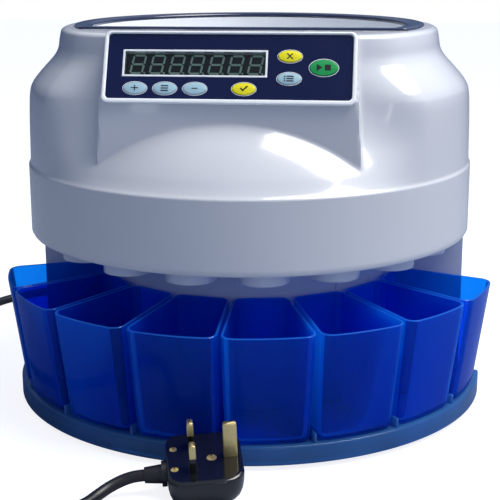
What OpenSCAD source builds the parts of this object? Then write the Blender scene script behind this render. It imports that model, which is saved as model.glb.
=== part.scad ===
// Coin sorting machine: a hopper feeds a spinning disc, graded outlets drop each
// coin size down a chute into one of eight bins round the front.
// Millimetres, +Z up, the front faces -Y, the origin is under the middle of the machine.

/* [Machine] */
// Overall radius over the coin bins
bins_r = 170; // [165:1:180]
// Radius of the round skirt of the casing
skirt_r = 152; // [150:0.5:154]
// Height of the skirt's lower edge above the table
skirt_z = 118; // [114:1:120]
// Height of the flat top of the casing
top_z = 255; // [255:0.5:258]
// Wall thickness of the casing
wall = 3; // [2.5:0.1:3.2]

/* [Coin bins] */
// Angle from one bin to the next
bin_step = 20.6; // [20:0.1:21]
// Height of the bin rims at the outer wall
bin_rim_z = 86; // [80:1:90]
// Wall thickness of a bin
bin_wall = 1.8; // [1.5:0.1:2.2]
// Height of the tray that the bins stand on
tray_z = 15.5; // [14:0.5:17]

/* [Control panel] */
// Width of the navy membrane
panel_w = 148; // [140:1:150]
// Height of the navy membrane along the slope
panel_h = 41; // [38:1:42]
// How far the keys stand out of the membrane
key_proud = 0.9; // [0.9:0.1:1.6]

/* [Drive] */
// Radius of the feed disc
disc_r = 100; // [96:1:101]
// Teeth of the driven gear
gear_teeth = 48; // [40:4:48]
// Teeth of the motor pinion
pinion_teeth = 12; // [12:4:16]
// Tooth size, as pitch diameter over teeth
gear_module = 1.6; // [1.6:0.1:1.7]

/* [Power lead] */
// Diameter of the power lead
cord_d = 7; // [6:0.5:7]

/* [Hidden] */
$fn = 72;
BIN_COUNT = 8;
bin_names = [for (i = [1 : BIN_COUNT]) str("bin_", i)];

// The hopper axis stands behind the origin, so that the origin is in mid-machine.
axis_y = (bins_r - skirt_r) / 2;
eps = 0.01;
FEET_Z = 3.5;
PAN_Z = 6;
DECK_T = 3;
deck_top = skirt_z + DECK_T;
PLATE_Z = 160;
PLATE_T = 4;
plate_top = PLATE_Z + PLATE_T;
PLATE_R = 141;
TRACK_H = 9;
bowl_z = plate_top + TRACK_H;
COLUMN_R = 99.5;
column_back_r = skirt_r - 2.5;
COLUMN_WALL = 2.5;
BACK_Y = 138;
CHUTE_R = 125.5;
CHUTE_OUT = 16;
CHUTE_BORE = 14.5;
CHUTE_Z = 109;
MOUTH_R = 109;
MOUTH_Y = -48;
RIM_W = 9;
RIM_LIP = 1.5;
bin_angles = [for (i = [0 : BIN_COUNT - 1]) (i - (BIN_COUNT - 1) / 2) * bin_step];
POST_ANGLES = [0, 41.2, -41.2, 110, -110, 180];
POST_RING = 100;

// The control panel leans back: its own X runs right, Y up the slope, Z outwards.
CONSOLE_Y = -118.8;
PANEL_Z = 218;
PANEL_TILT = 64;

module on_axis() {
    translate([0, axis_y, 0]) children();
}
module on_panel() {
    translate([0, axis_y + CONSOLE_Y, PANEL_Z]) rotate([PANEL_TILT, 0, 0]) children();
}
module at_angle(angle) {
    on_axis() rotate([0, 0, angle]) children();
}

// ---- casing surface -------------------------------------------------------
CREASE_Z = 165;
// Outline of the casing at the front, as height and radius: a dome under the console.
FRONT_LINE = [[skirt_z, skirt_r], [CREASE_Z - 1, skirt_r], [CREASE_Z + 1, 150.2], [176, 143.7],
    [185, 137], [192.5, 130.6], [199, 124.4], [205, 118.6], [230, 117.5], [260, 116]];
// Outline at the sides and the back: a tall wall, a soft shoulder and the collar.
SIDE_LINE = [[skirt_z, skirt_r], [CREASE_Z - 1, skirt_r], [CREASE_Z + 1, 150.8], [190, 150.3],
    [208, 149.6], [215, 148.6], [219, 146.8], [223, 143.8], [229, 138.4], [234, 133.7],
    [238, 130.7], [242, 129], [248, 128], [253, 126.8], [256, 125], [260, 125]];
CASING_LEVELS = [skirt_z, 164, 166, 171, 176, 180, 185, 189, 192.5, 199, 205, 210, 215, 219,
    223, 229, 234, 238, 242, 248, 253, 260];
ARC_STEPS = 72;

function ease(t) = let (c = max(0, min(1, t))) c * c * (3 - 2 * c);
function away_from_front(angle) = abs(angle > 180 ? angle - 360 : angle);
function side_share(angle) = ease((away_from_front(angle) - 30) / 24);
function casing_r(z, angle) = let (w = side_share(angle))
    (1 - w) * lookup(z, FRONT_LINE) + w * lookup(z, SIDE_LINE);

// A closed solid inside the casing surface, smaller by inset, between the given levels.
module casing_solid(levels, inset, steps) {
    rings = len(levels);
    points = [for (z = levels, i = [0 : steps - 1])
        let (a = 360 * i / steps, r = casing_r(z, a) - inset) [r * sin(a), -r * cos(a), z]];
    sides = [for (k = [0 : rings - 2], i = [0 : steps - 1])
        let (j = (i + 1) % steps)
        [k * steps + i, (k + 1) * steps + i, (k + 1) * steps + j, k * steps + j]];
    bottom = [for (i = [0 : steps - 1]) i];
    top = [for (i = [0 : steps - 1]) rings * steps - 1 - i];
    polyhedron(points, concat(sides, [bottom, top]));
}

// Everything in front of the sloping control panel.
module panel_cut(inset) {
    translate([0, CONSOLE_Y, PANEL_Z]) rotate([PANEL_TILT, 0, 0]) {
        translate([-150, 0, -inset]) cube([300, 80, 90]);
    }
}
// The console is a side outline along X, narrowed upwards and cut back by inset.
module console_solid(inset) {
    foot_w = 81.4 - inset;
    head_w = 75.4 - inset;
    intersection() {
        rotate([90, 0, 90]) linear_extrude(200, center = true) polygon([
            [CONSOLE_Y + inset, 172], [CONSOLE_Y + inset, PANEL_Z + 0.2 * inset],
            [CONSOLE_Y + 19.1 + 1.2 * inset, 257.1 + 0.2 * inset], [-60, 257.1 + 0.2 * inset],
            [-60, 172]]);
        rotate([90, 0, 0]) linear_extrude(200) polygon([
            [-foot_w, 170], [foot_w, 170], [head_w, 260], [-head_w, 260]]);
    }
}

// The mouth of the hopper: a circle with a straight front edge.
module mouth_shape(radius, front) {
    intersection() {
        circle(r = radius, $fn = 96);
        translate([-radius, front]) square([2 * radius, 2 * radius]);
    }
}

module upper_housing() {
    color("lightsteelblue") on_axis() difference() {
        intersection() {
            union() {
                difference() {
                    casing_solid(CASING_LEVELS, 0, ARC_STEPS);
                    panel_cut(0);
                }
                console_solid(0);
            }
            cylinder(r = 200, h = top_z);
        }
        intersection() {
            union() {
                difference() {
                    casing_solid([for (z = CASING_LEVELS) z == skirt_z ? z - 1 : z], wall, ARC_STEPS / 2);
                    panel_cut(wall);
                }
                console_solid(wall);
            }
            cylinder(r = 200, h = top_z - wall);
        }
        translate([0, 0, top_z - 10]) linear_extrude(20) mouth_shape(MOUTH_R, MOUTH_Y);
        translate([0, CONSOLE_Y, PANEL_Z]) rotate([PANEL_TILT, 0, 0]) {
            translate([-70, 2.4, -10]) cube([140, 37.4, 20]);
        }
    }
}

module hopper_rim() {
    color("midnightblue") on_axis() {
        translate([0, 0, top_z]) linear_extrude(1.5) difference() {
            mouth_shape(MOUTH_R + RIM_W, MOUTH_Y - 4);
            mouth_shape(MOUTH_R - 3, MOUTH_Y + 3);
        }
        translate([0, 0, top_z - RIM_LIP]) linear_extrude(RIM_LIP) difference() {
            mouth_shape(MOUTH_R - 0.3, MOUTH_Y + 0.3);
            mouth_shape(MOUTH_R - 3, MOUTH_Y + 3);
        }
    }
}

// Space inside the hopper: a cone with a sloping flat wall behind the console.
module bowl_space(inset) {
    rise = top_z - RIM_LIP - bowl_z;
    front = MOUTH_Y + 0.3 + inset;
    intersection() {
        translate([0, 0, bowl_z - 1]) cylinder(r1 = 105.5 - inset, r2 = MOUTH_R - 0.3 - inset, h = rise + 2);
        rotate([90, 0, 90]) linear_extrude(300, center = true) polygon([
            [-106 + inset, bowl_z - 5], [-86 + inset, 195], [front, top_z - 6], [front, top_z + 5],
            [140, top_z + 5], [140, bowl_z - 5]]);
    }
}

module hopper_bowl() {
    color("ghostwhite") on_axis() difference() {
        union() {
            intersection() {
                bowl_space(0);
                translate([0, 0, bowl_z]) cylinder(r = 150, h = top_z - RIM_LIP - bowl_z);
            }
            translate([0, 0, bowl_z]) cylinder(r = PLATE_R - 2, h = 2.5);
        }
        bowl_space(2.6);
        translate([0, 0, bowl_z - 1]) cylinder(r = 102.5, h = 1 + 2.4);
    }
}

// ---- base, column and tray ------------------------------------------------
// A wide back part from front_y to back_y, and what lies in front of it.
module footprint(back_r, front_y, back_y) {
    children();
    intersection() {
        circle(r = back_r);
        translate([-200, front_y]) square([400, back_y - front_y]);
    }
}

module base_pan() {
    color("dimgray") on_axis() translate([0, 0, FEET_Z]) difference() {
        linear_extrude(PAN_Z - FEET_Z) footprint(column_back_r, 0, BACK_Y) intersection() {
            circle(r = 158);
            translate([-200, -200]) square([400, 200 + COLUMN_WALL]);
        }
        for (i = [-4 : 4]) translate([i * 9 - 1.5, 34, -1]) cube([3, 30, 10]);
    }
}

FEET_AT = [[-95, 95], [95, 95], [-110, -90], [110, -90], [0, -140]];
module feet() {
    color("black") on_axis() for (p = FEET_AT) translate([p[0], p[1], 0]) {
        cylinder(r1 = 8.5, r2 = 9.5, h = FEET_Z);
    }
}

module lower_housing() {
    color("lightgray") on_axis() difference() {
        translate([0, 0, PAN_Z]) linear_extrude(skirt_z - PAN_Z) difference() {
            footprint(column_back_r, 0, BACK_Y) {
                circle(r = COLUMN_R);
                // Upright ribs on the curved wall, each behind the gap of two bins.
                for (a = [-2 * bin_step, 0, 2 * bin_step]) rotate(a) {
                    translate([-1.5, -COLUMN_R - 1]) square([3, 3]);
                }
            }
            footprint(column_back_r - COLUMN_WALL, COLUMN_WALL, BACK_Y - COLUMN_WALL) {
                circle(r = COLUMN_R - COLUMN_WALL);
            }
        }
        translate([-49, BACK_Y - 10, 16]) cube([98, 20, 68]);
    }
}

// Sector of a ring that opens to the front.
module front_ring(inner, outer, half_angle) {
    reach = 300;
    intersection() {
        difference() {
            circle(r = outer);
            circle(r = inner);
        }
        polygon([[0, 0], [reach * sin(half_angle), -reach * cos(half_angle)], [reach, -reach],
            [-reach, -reach], [-reach * sin(half_angle), -reach * cos(half_angle)]]);
    }
}

TRAY_IN = 101.5;
TRAY_OUT = 163.5;
TRAY_HALF = 87;
module tray() {
    rib = 2;
    color("navy") on_axis() {
        difference() {
            translate([0, 0, FEET_Z]) linear_extrude(tray_z - FEET_Z) {
                front_ring(TRAY_IN, TRAY_OUT, TRAY_HALF);
            }
            translate([0, 0, FEET_Z - 1]) cylinder(r = TRAY_OUT - 3, h = PAN_Z - FEET_Z + 1);
            translate([0, 0, FEET_Z]) linear_extrude(tray_z - FEET_Z - 3) {
                front_ring(TRAY_IN + 3, TRAY_OUT - 3.5, TRAY_HALF - 3);
            }
        }
        for (a = [-3 : 3]) rotate([0, 0, a * bin_step]) {
            translate([-rib / 2, -TRAY_OUT + 2, tray_z - 1]) cube([rib, 13, 7]);
            translate([-rib / 2, -TRAY_OUT + 2, PAN_Z + 1]) cube([rib, 58, tray_z - PAN_Z - 3]);
        }
    }
}

// ---- coin bins ------------------------------------------------------------
BIN_BASE_OUT = 161;
module bin_outline(inner, outer, gap, corner) {
    half = bin_step / 2;
    function spread(r) = r * sin(half) - gap;
    arc = [for (i = [-3 : 3]) let (a = i / 3 * asin(spread(outer) / outer))
        [outer * sin(a), -outer * cos(a)]];
    offset(r = corner, $fn = 24) offset(delta = -corner) {
        polygon(concat(arc, [[spread(inner), -inner], [-spread(inner), -inner]]));
    }
}
bin_lean = (bins_r - BIN_BASE_OUT) / (bin_rim_z - tray_z - 4);
BIN_TOP_Z = 100;
module bin_block(inset, floor_z) {
    hull() {
        translate([0, 0, floor_z]) linear_extrude(eps) {
            bin_outline(105.5 + inset, BIN_BASE_OUT - 4 - inset, 4.6 + inset, 4);
        }
        translate([0, 0, floor_z + 4]) linear_extrude(eps) {
            bin_outline(103.8 + inset, BIN_BASE_OUT - inset, 1.9 + inset, 5);
        }
        translate([0, 0, BIN_TOP_Z]) linear_extrude(eps) {
            bin_outline(102.3 + inset, bins_r + (BIN_TOP_Z - bin_rim_z) * bin_lean - inset, 0.9 + inset, 6);
        }
    }
}
module coin_bin(index) {
    rim_slope = 4.5;
    color("mediumblue", 0.8) at_angle(bin_angles[index]) difference() {
        bin_block(0, tray_z);
        bin_block(bin_wall, tray_z + bin_wall);
        translate([0, -bins_r, bin_rim_z]) rotate([rim_slope, 0, 0]) {
            translate([-60, -20, 0]) cube([120, 120, 60]);
        }
    }
}

// ---- coin path ------------------------------------------------------------
module chassis_deck() {
    color("gainsboro") on_axis() translate([0, 0, skirt_z]) difference() {
        cylinder(r = skirt_r - wall - 0.8, h = DECK_T);
        for (a = bin_angles) rotate([0, 0, a]) translate([0, -CHUTE_R, -1]) {
            cylinder(r = CHUTE_OUT + 0.4, h = DECK_T + 2);
        }
        translate([0, 20, -1]) cylinder(r = 62, h = DECK_T + 2);
    }
}

module plate_posts() {
    color("silver") for (a = POST_ANGLES) at_angle(a) translate([0, -POST_RING, deck_top]) {
        cylinder(r = 4, h = PLATE_Z - deck_top, $fn = 32);
    }
}

module sorting_plate() {
    color("whitesmoke") on_axis() difference() {
        union() {
            translate([0, 0, PLATE_Z]) cylinder(r = PLATE_R, h = PLATE_T);
            translate([0, 0, plate_top]) difference() {
                cylinder(r = PLATE_R - 1, h = TRACK_H);
                translate([0, 0, -1]) cylinder(r = PLATE_R - 3.5, h = TRACK_H + 2);
            }
        }
        // Coin holes, the smallest first, all with their outer edge on one circle.
        for (i = [0 : BIN_COUNT - 1]) let (r = 8.5 + 4.5 * i / (BIN_COUNT - 1)) {
            rotate([0, 0, bin_angles[i]]) translate([0, r - 137, PLATE_Z - 1]) cylinder(r = r, h = PLATE_T + 2);
        }
        translate([0, 0, PLATE_Z - 1]) cylinder(r = 7, h = PLATE_T + 2);
    }
}

module coin_chutes() {
    color("white") on_axis() for (a = bin_angles) rotate([0, 0, a]) translate([0, -CHUTE_R, 0]) {
        difference() {
            translate([0, 0, CHUTE_Z]) cylinder(r = CHUTE_OUT, h = PLATE_Z - CHUTE_Z);
            translate([0, 0, CHUTE_Z - 1]) cylinder(r = CHUTE_BORE, h = PLATE_Z - CHUTE_Z + 2);
        }
    }
}

BOARD_T = 1.6;
module sensor_board() {
    color("darkgreen") on_axis() translate([0, 0, PLATE_Z - BOARD_T]) difference() {
        cylinder(r = 109, h = BOARD_T);
        translate([0, 0, -1]) cylinder(r = 86, h = BOARD_T + 2);
        for (a = POST_ANGLES) rotate([0, 0, a]) translate([0, -POST_RING, -1]) {
            cylinder(r = 4.4, h = BOARD_T + 2, $fn = 32);
        }
    }
}
module coin_sensors() {
    color("black") for (a = bin_angles) at_angle(a) {
        translate([-5, -109, PLATE_Z - BOARD_T - 11]) cube([10, 8, 11]);
    }
}

module feed_disc() {
    lift = 1;
    thick = 4;
    color("lightgray") on_axis() difference() {
        union() {
            translate([0, 0, plate_top + lift]) cylinder(r = disc_r, h = thick);
            translate([0, 0, plate_top + lift + thick - eps]) cylinder(r1 = 26, r2 = 12, h = 14);
            for (i = [0 : 5]) rotate([0, 0, 60 * i]) {
                translate([24, -2, plate_top + lift + thick - eps]) cube([60, 4, 2.4]);
            }
        }
        translate([0, 0, plate_top - 5]) cylinder(r = SHAFT_R, h = 20);
    }
}

BRACKET_Z = 136;
BRACKET_T = 3;
GEAR_Z = 141;
GEAR_H = 8;
gear_r = gear_module * gear_teeth / 2;
pinion_r = gear_module * pinion_teeth / 2;
motor_y = gear_r + pinion_r + 0.3;
MOTOR_H = 50;
SHAFT_R = 4;
MOTOR_SHAFT_R = 2.5;
RUN_GAP = 0.06;

module disc_shaft() {
    color("silver") on_axis() {
        translate([0, 0, BRACKET_Z - 2]) cylinder(r = SHAFT_R, h = plate_top + 14 - BRACKET_Z);
    }
}

// Bushes that the shaft turns in: one in the sorting plate and one in the bracket.
module shaft_bushes() {
    color("goldenrod") on_axis() {
        for (z = [PLATE_Z - 3, BRACKET_Z - 1]) translate([0, 0, z]) difference() {
            cylinder(r = z > 150 ? 7 : 6.5, h = z > 150 ? PLATE_T + 3.4 : BRACKET_T + 2);
            translate([0, 0, -1]) cylinder(r = SHAFT_R + RUN_GAP, h = 20);
        }
    }
}

// Spur gear with straight-sided teeth.
module spur_gear(teeth, bore) {
    root = gear_module * (teeth / 2 - 1.05);
    tip = gear_module * (teeth / 2 + 0.8);
    step = 360 / teeth;
    difference() {
        linear_extrude(GEAR_H) polygon([for (i = [0 : teeth - 1], k = [0 : 3])
            let (a = i * step + [-0.30, -0.13, 0.13, 0.30][k] * step, r = (k == 0 || k == 3) ? root : tip)
            [r * cos(a), r * sin(a)]]);
        translate([0, 0, -1]) cylinder(r = bore, h = GEAR_H + 2);
    }
}
module disc_gear() {
    color("ivory") on_axis() translate([0, 0, GEAR_Z]) rotate([0, 0, 90 + 180 / gear_teeth]) difference() {
        spur_gear(gear_teeth, SHAFT_R);
        for (i = [0 : 5]) rotate([0, 0, 60 * i]) translate([22, 0, -1]) cylinder(r = 7, h = GEAR_H + 2);
    }
}
module motor_pinion() {
    color("ivory") on_axis() translate([0, motor_y, GEAR_Z]) rotate([0, 0, -90]) {
        spur_gear(pinion_teeth, MOTOR_SHAFT_R);
    }
}

// Plate under the gears, hung from the sorting plate by four posts.
module motor_bracket() {
    color("darkgray") on_axis() {
        translate([0, 0, BRACKET_Z]) linear_extrude(BRACKET_T) difference() {
            translate([-54, -24]) square([108, 93]);
            circle(r = 6.5);
            translate([0, motor_y]) circle(r = 7);
        }
        for (x = [-48, 48], y = [-18, 63]) translate([x, y, BRACKET_Z + BRACKET_T - eps]) {
            cylinder(r = 4, h = PLATE_Z - BRACKET_Z - BRACKET_T + eps, $fn = 32);
        }
    }
}
module drive_motor() {
    color("slategray") on_axis() translate([0, motor_y, BRACKET_Z]) difference() {
        union() {
            translate([0, 0, -MOTOR_H]) cylinder(r = 22, h = MOTOR_H);
            translate([0, 0, -eps]) cylinder(r = 6.5, h = 2.5);
            translate([0, 0, -MOTOR_H - 4]) cylinder(r = 8, h = 4 + eps);
        }
        translate([0, 0, -12]) cylinder(r = MOTOR_SHAFT_R + RUN_GAP, h = 20);
    }
}
module motor_shaft() {
    color("silver") on_axis() translate([0, motor_y, BRACKET_Z - 11]) {
        cylinder(r = MOTOR_SHAFT_R, h = GEAR_Z + GEAR_H + 12 - BRACKET_Z);
    }
}

// ---- control panel --------------------------------------------------------
OVERLAY_T = 0.8;
PANEL_MID = 21.1;
FRAME_LIP = 1.2;
OVAL_A = 7;
OVAL_B = 3.7;
START_A = 8.4;
START_B = 5.05;
// Display window: middle and size of its white border.
BEZEL_AT = [-20.7, 23.1];
BEZEL_SIZE = [88, 17.2];
GLASS_SIZE = [85.4, 14.8];
// Each key: place on the panel, half width and half height.
KEY_PLUS = [-56.2, 7.1, OVAL_A, OVAL_B];
KEY_BATCH = [-38, 7.1, OVAL_A, OVAL_B];
KEY_MINUS = [-19.8, 7.1, OVAL_A, OVAL_B];
KEY_SET = [9.7, 7.2, OVAL_A, OVAL_B];
KEY_CLEAR = [36.6, 27.9, OVAL_A, OVAL_B];
KEY_REPORT = [36.5, 13.9, OVAL_A, OVAL_B];
KEY_START = [56.9, 20.9, START_A, START_B];
KEYS = [KEY_PLUS, KEY_BATCH, KEY_MINUS, KEY_SET, KEY_CLEAR, KEY_REPORT, KEY_START];
BOARD_AT = -12;
KEY_FOOT = -5.6;

module oval(half_w, half_h) {
    polygon([for (i = [0 : 47]) [half_w * cos(i * 7.5), half_h * sin(i * 7.5)]]);
}
module rounded_box(size, corner) {
    hull() for (x = [-1, 1], y = [-1, 1]) {
        translate([x * (size[0] / 2 - corner), y * (size[1] / 2 - corner)]) circle(r = corner, $fn = 32);
    }
}
// White border of the panel. Its lip hangs over the lower edge of the slope.
module panel_frame() {
    color("aliceblue") on_panel() translate([0, PANEL_MID, 0]) linear_extrude(2) difference() {
        translate([0, -FRAME_LIP / 2]) rounded_box([panel_w + 5, panel_h + 3.6 + FRAME_LIP], 4);
        rounded_box([panel_w + 0.2, panel_h + 0.2], 2.5);
    }
}
module panel_overlay() {
    color("midnightblue") on_panel() linear_extrude(OVERLAY_T) difference() {
        translate([0, PANEL_MID]) rounded_box([panel_w, panel_h], 2.4);
        for (k = KEYS) translate([k[0], k[1]]) oval(k[2] + 0.3, k[3] + 0.3);
        translate(BEZEL_AT) square(BEZEL_SIZE, center = true);
    }
}
module display_bezel() {
    color("white") on_panel() translate([BEZEL_AT[0], BEZEL_AT[1], -4]) linear_extrude(5) difference() {
        square(BEZEL_SIZE, center = true);
        square(GLASS_SIZE, center = true);
    }
}
module display_window() {
    color("black", 0.6) on_panel() translate([BEZEL_AT[0], BEZEL_AT[1], -0.6]) linear_extrude(1.2) {
        square(GLASS_SIZE, center = true);
    }
}

// Seven-segment digits, leaning a little, each with a point after it.
DIGIT_COUNT = 7;
DIGIT_PITCH = 11.95;
DIGIT_W = 7.2;
DIGIT_H = 11.2;
DIGIT_LEAN = 1.1;
SEG_WIDE = 1.1;
module segment(long) {
    tip = long / 2;
    polygon([[-tip, 0], [0.4 - tip, SEG_WIDE / 2], [tip - 0.4, SEG_WIDE / 2],
        [tip, 0], [tip - 0.4, -SEG_WIDE / 2], [0.4 - tip, -SEG_WIDE / 2]]);
}
module digit() {
    for (y = [-1, 0, 1]) translate([y * DIGIT_LEAN, y * DIGIT_H / 2]) segment(DIGIT_W - 0.7);
    for (x = [-1, 1], y = [-1, 1]) {
        translate([x * DIGIT_W / 2 + y * DIGIT_LEAN / 2, y * DIGIT_H / 4]) {
            rotate(79) segment(DIGIT_H / 2 - 0.4);
        }
    }
    translate([4.1, -5.5]) circle(r = 0.6, $fn = 16);
}
module display_digits() {
    color("darkseagreen") on_panel() translate([BEZEL_AT[0], BEZEL_AT[1], 0]) {
        translate([0, 0, BOARD_AT + BOARD_T]) linear_extrude(7) square([84.4, 14], center = true);
        for (i = [0 : DIGIT_COUNT - 1]) translate([(i - 3) * DIGIT_PITCH + 0.6, 0, -3.5]) {
            translate([0, 0, -0.1]) linear_extrude(0.5) digit();
        }
    }
}
module display_board() {
    color("darkgreen") on_panel() translate([0, PANEL_MID, BOARD_AT]) linear_extrude(BOARD_T) {
        square([136, 34], center = true);
    }
}
module key_switches() {
    color("dimgray") on_panel() for (k = KEYS) translate([k[0], k[1], BOARD_AT + BOARD_T]) {
        translate([-2.8, -2.8, 0]) cube([5.6, 5.6, 2.8]);
        cylinder(r = 1.5, h = 3.6, $fn = 32);
    }
}
// A key is an oval cap. Its flange behind the overlay keeps it in, and its stem works the switch.
module key_cap(key) {
    on_panel() translate([key[0], key[1], 0]) {
        translate([0, 0, -1.2]) linear_extrude(OVERLAY_T + key_proud + 1.2) oval(key[2], key[3]);
        translate([0, 0, -2]) linear_extrude(1.2) oval(key[2] + 0.7, key[3] + 0.7);
        translate([0, 0, KEY_FOOT]) linear_extrude(-KEY_FOOT - 1.5) oval(key[2] - 3, key[3] - 2);
    }
}
module key_plus() { color("lightblue") key_cap(KEY_PLUS); }
module key_batch() { color("lightblue") key_cap(KEY_BATCH); }
module key_minus() { color("lightblue") key_cap(KEY_MINUS); }
module key_set() { color("yellow") key_cap(KEY_SET); }
module key_clear() { color("yellow") key_cap(KEY_CLEAR); }
module key_report() { color("lightblue") key_cap(KEY_REPORT); }
module key_start() { color("limegreen") key_cap(KEY_START); }

// ---- electrics ------------------------------------------------------------
module transformer() {
    color("darkslategray") on_axis() translate([-75, 66, PAN_Z]) {
        translate([-30, -22, 0]) cube([60, 44, 50]);
        translate([-18, -28, 10]) cube([36, 56, 30]);
        for (x = [-36, 29.9]) translate([x, -10, 0]) cube([6.1, 20, 3]);
    }
}
module main_board() {
    color("darkgreen") on_axis() translate([50, 52, PAN_Z + 8]) difference() {
        translate([-40, -42, 0]) cube([80, 84, BOARD_T]);
        for (x = [-35, 35], y = [-37, 37]) translate([x, y, -1]) cylinder(r = 1.7, h = 5);
    }
    color("silver") on_axis() translate([50, 52, PAN_Z]) for (x = [-35, 35], y = [-37, 37]) {
        translate([x, y, 0]) cylinder(r = 3.2, h = 8, $fn = 32);
    }
}
module board_parts() {
    top = PAN_Z + 8 + BOARD_T;
    color("black") on_axis() translate([50, 52, top]) {
        for (i = [0 : 2]) translate([-28 + i * 14, 24, 0]) cylinder(r = 5, h = 16, $fn = 32);
        translate([-10, -8, 0]) cube([20, 20, 2.4]);
        translate([18, -30, 0]) cube([12, 8, 2.4]);
        translate([16, 8, 0]) cube([18, 14, 22]);
        for (i = [0 : 3]) translate([-30 + i * 11, -36, 0]) cube([8, 6, 8]);
    }
}

REAR_T = 2.5;
rear_face = BACK_Y + REAR_T;
SWITCH_AT = [-34, 60];
CORD_AT = [-34, 26];
FUSE_AT = [-6, 60];
PORT_AT = [26, 58];
GLAND_R = 6.5;
module at_rear(place) {
    on_axis() translate([place[0], rear_face, place[1]]) rotate([-90, 0, 0]) children();
}
module rear_panel() {
    color("gray") difference() {
        on_axis() translate([-56, BACK_Y, 14]) cube([112, REAR_T, 76]);
        at_rear(SWITCH_AT) cube([19, 13, 40], center = true);
        at_rear(PORT_AT) cube([31, 12.6, 40], center = true);
        at_rear(FUSE_AT) translate([0, 0, -20]) cylinder(r = 6, h = 40);
        at_rear(CORD_AT) translate([0, 0, -20]) cylinder(r = GLAND_R, h = 40);
        for (x = [-51, 51], z = [19, 85]) at_rear([x, z]) translate([0, 0, -20]) cylinder(r = 1.7, h = 40);
    }
}
ROCKER_AXLE = -2.4;
// The rocker rests tipped to its off side.
ROCKER_REST = 7;
module power_switch() {
    color("black") at_rear(SWITCH_AT) difference() {
        union() {
            translate([-10.8, -7.8, 0]) cube([21.6, 15.6, 2]);
            translate([-9.5, -6.5, -16]) cube([19, 13, 16 + eps]);
        }
        translate([-8.2, -5.2, -9]) cube([16.4, 10.4, 20]);
        translate([0, 0, ROCKER_AXLE]) rotate([90, 0, 0]) cylinder(r = 1.2, h = 12.2, center = true);
    }
}
module switch_rocker() {
    color("crimson") at_rear(SWITCH_AT) translate([0, 0, ROCKER_AXLE]) rotate([90, 0, 0]) {
        rotate([0, 0, ROCKER_REST]) {
            linear_extrude(10, center = true) polygon([[-7.2, 0], [-7.4, 4.7], [-3.6, 5.4], [0, 4.4],
                [3.6, 5.4], [7.4, 4.7], [7.2, 0], [3, -3.4], [-3, -3.4]]);
            cylinder(r = 1.2 - RUN_GAP, h = 12, center = true);
        }
    }
}
module fuse_holder() {
    color("black") at_rear(FUSE_AT) {
        cylinder(r = 7.5, h = 2);
        translate([0, 0, -24]) cylinder(r = 6, h = 24 + eps);
        translate([-4, -0.8, 2 - eps]) cube([8, 1.6, 0.9]);
    }
}
module data_port() {
    color("silver") at_rear(PORT_AT) {
        translate([-15.5, -6.3, -8]) cube([31, 12.6, 8]);
        linear_extrude(5.5) difference() {
            polygon([[-9, 4.4], [9, 4.4], [7.6, -4.4], [-7.6, -4.4]]);
            polygon([[-8.3, 3.8], [8.3, 3.8], [7, -3.8], [-7, -3.8]]);
        }
        for (x = [-12.4, 12.4]) translate([x, 0, 0]) cylinder(r = 2.4, h = 4.5, $fn = 6);
    }
}

// ---- power lead -----------------------------------------------------------
RELIEF_L = 30;
module strain_relief() {
    color("black") at_rear(CORD_AT) difference() {
        union() {
            translate([0, 0, -REAR_T - 3]) cylinder(r = GLAND_R, h = REAR_T + 3 + eps);
            cylinder(r = 8.5, h = 2.5);
            translate([0, 0, 2.5 - eps]) cylinder(r1 = 6.4, r2 = 4.6, h = RELIEF_L - 2.5);
            translate([0, 0, -REAR_T - 3]) cylinder(r = 8.5, h = 3);
        }
        for (i = [0 : 3]) translate([0, 0, 7 + i * 5.5]) difference() {
            cylinder(r = 8, h = 1.6);
            translate([0, 0, -1]) cylinder(r = 4.4, h = 4);
        }
    }
}

// The lead leaves the strain relief, is wound into a coil close behind the machine,
// runs round the left side on the table and ends in the plug in front.
COIL_AT = [-100, 201];
COIL_IN = 31;
COIL_OUT = 45;
COIL_H = 14.2;
ROUTE_TO_COIL = [[-34, 179.5, 26], [-34, 190, 25.5], [-36, 203, 21], [-42, 217, 14],
    [-52, 230, 8], [-66, 238, 4.6], [-82, 242, 3.6], [-100, 242.5, 3.6]];
ROUTE_TO_PLUG = [[-100, 242.5, 10.6], [-118, 242, 9.6], [-136, 238, 7.2], [-155, 233, 5],
    [-178, 224, 3.7], [-200, 209, 3.6], [-222, 190, 3.6], [-238, 168, 3.6], [-244, 145, 3.6],
    [-238, 115, 3.6], [-228, 85, 3.6], [-214, 40, 3.6], [-200, 0, 3.6], [-184, -50, 3.6],
    [-168, -100, 3.6], [-152, -150, 3.6], [-143, -172, 3.6], [-134.5, -193, 3.6],
    [-128, -209, 3.6], [-121, -220.5, 3.6], [-110, -229, 3.6], [-97, -232, 3.6],
    [-84, -229, 3.6], [-74.5, -222, 3.6], [-68, -213.5, 3.8], [-63.5, -205, 4.8],
    [-58.5, -198.8, 6.8], [-52, -194.2, 9.2], [-45.5, -191.8, 11], [-39, -190.5, 11.8]];

function ahead(points, i) = points[min(i, len(points) - 1)];
function before(points, i) = points[max(i, 0)];
// Point on a smooth curve through the route, t from 0 to 1 between points i and i + 1.
function on_route(points, i, t) = let (a = before(points, i - 1), b = points[i],
        c = ahead(points, i + 1), d = ahead(points, i + 2))
    0.5 * (2 * b + (c - a) * t + (2 * a - 5 * b + 4 * c - d) * t * t
        + (3 * b - a - 3 * c + d) * t * t * t);
function unit(v) = v / norm(v);

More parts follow.
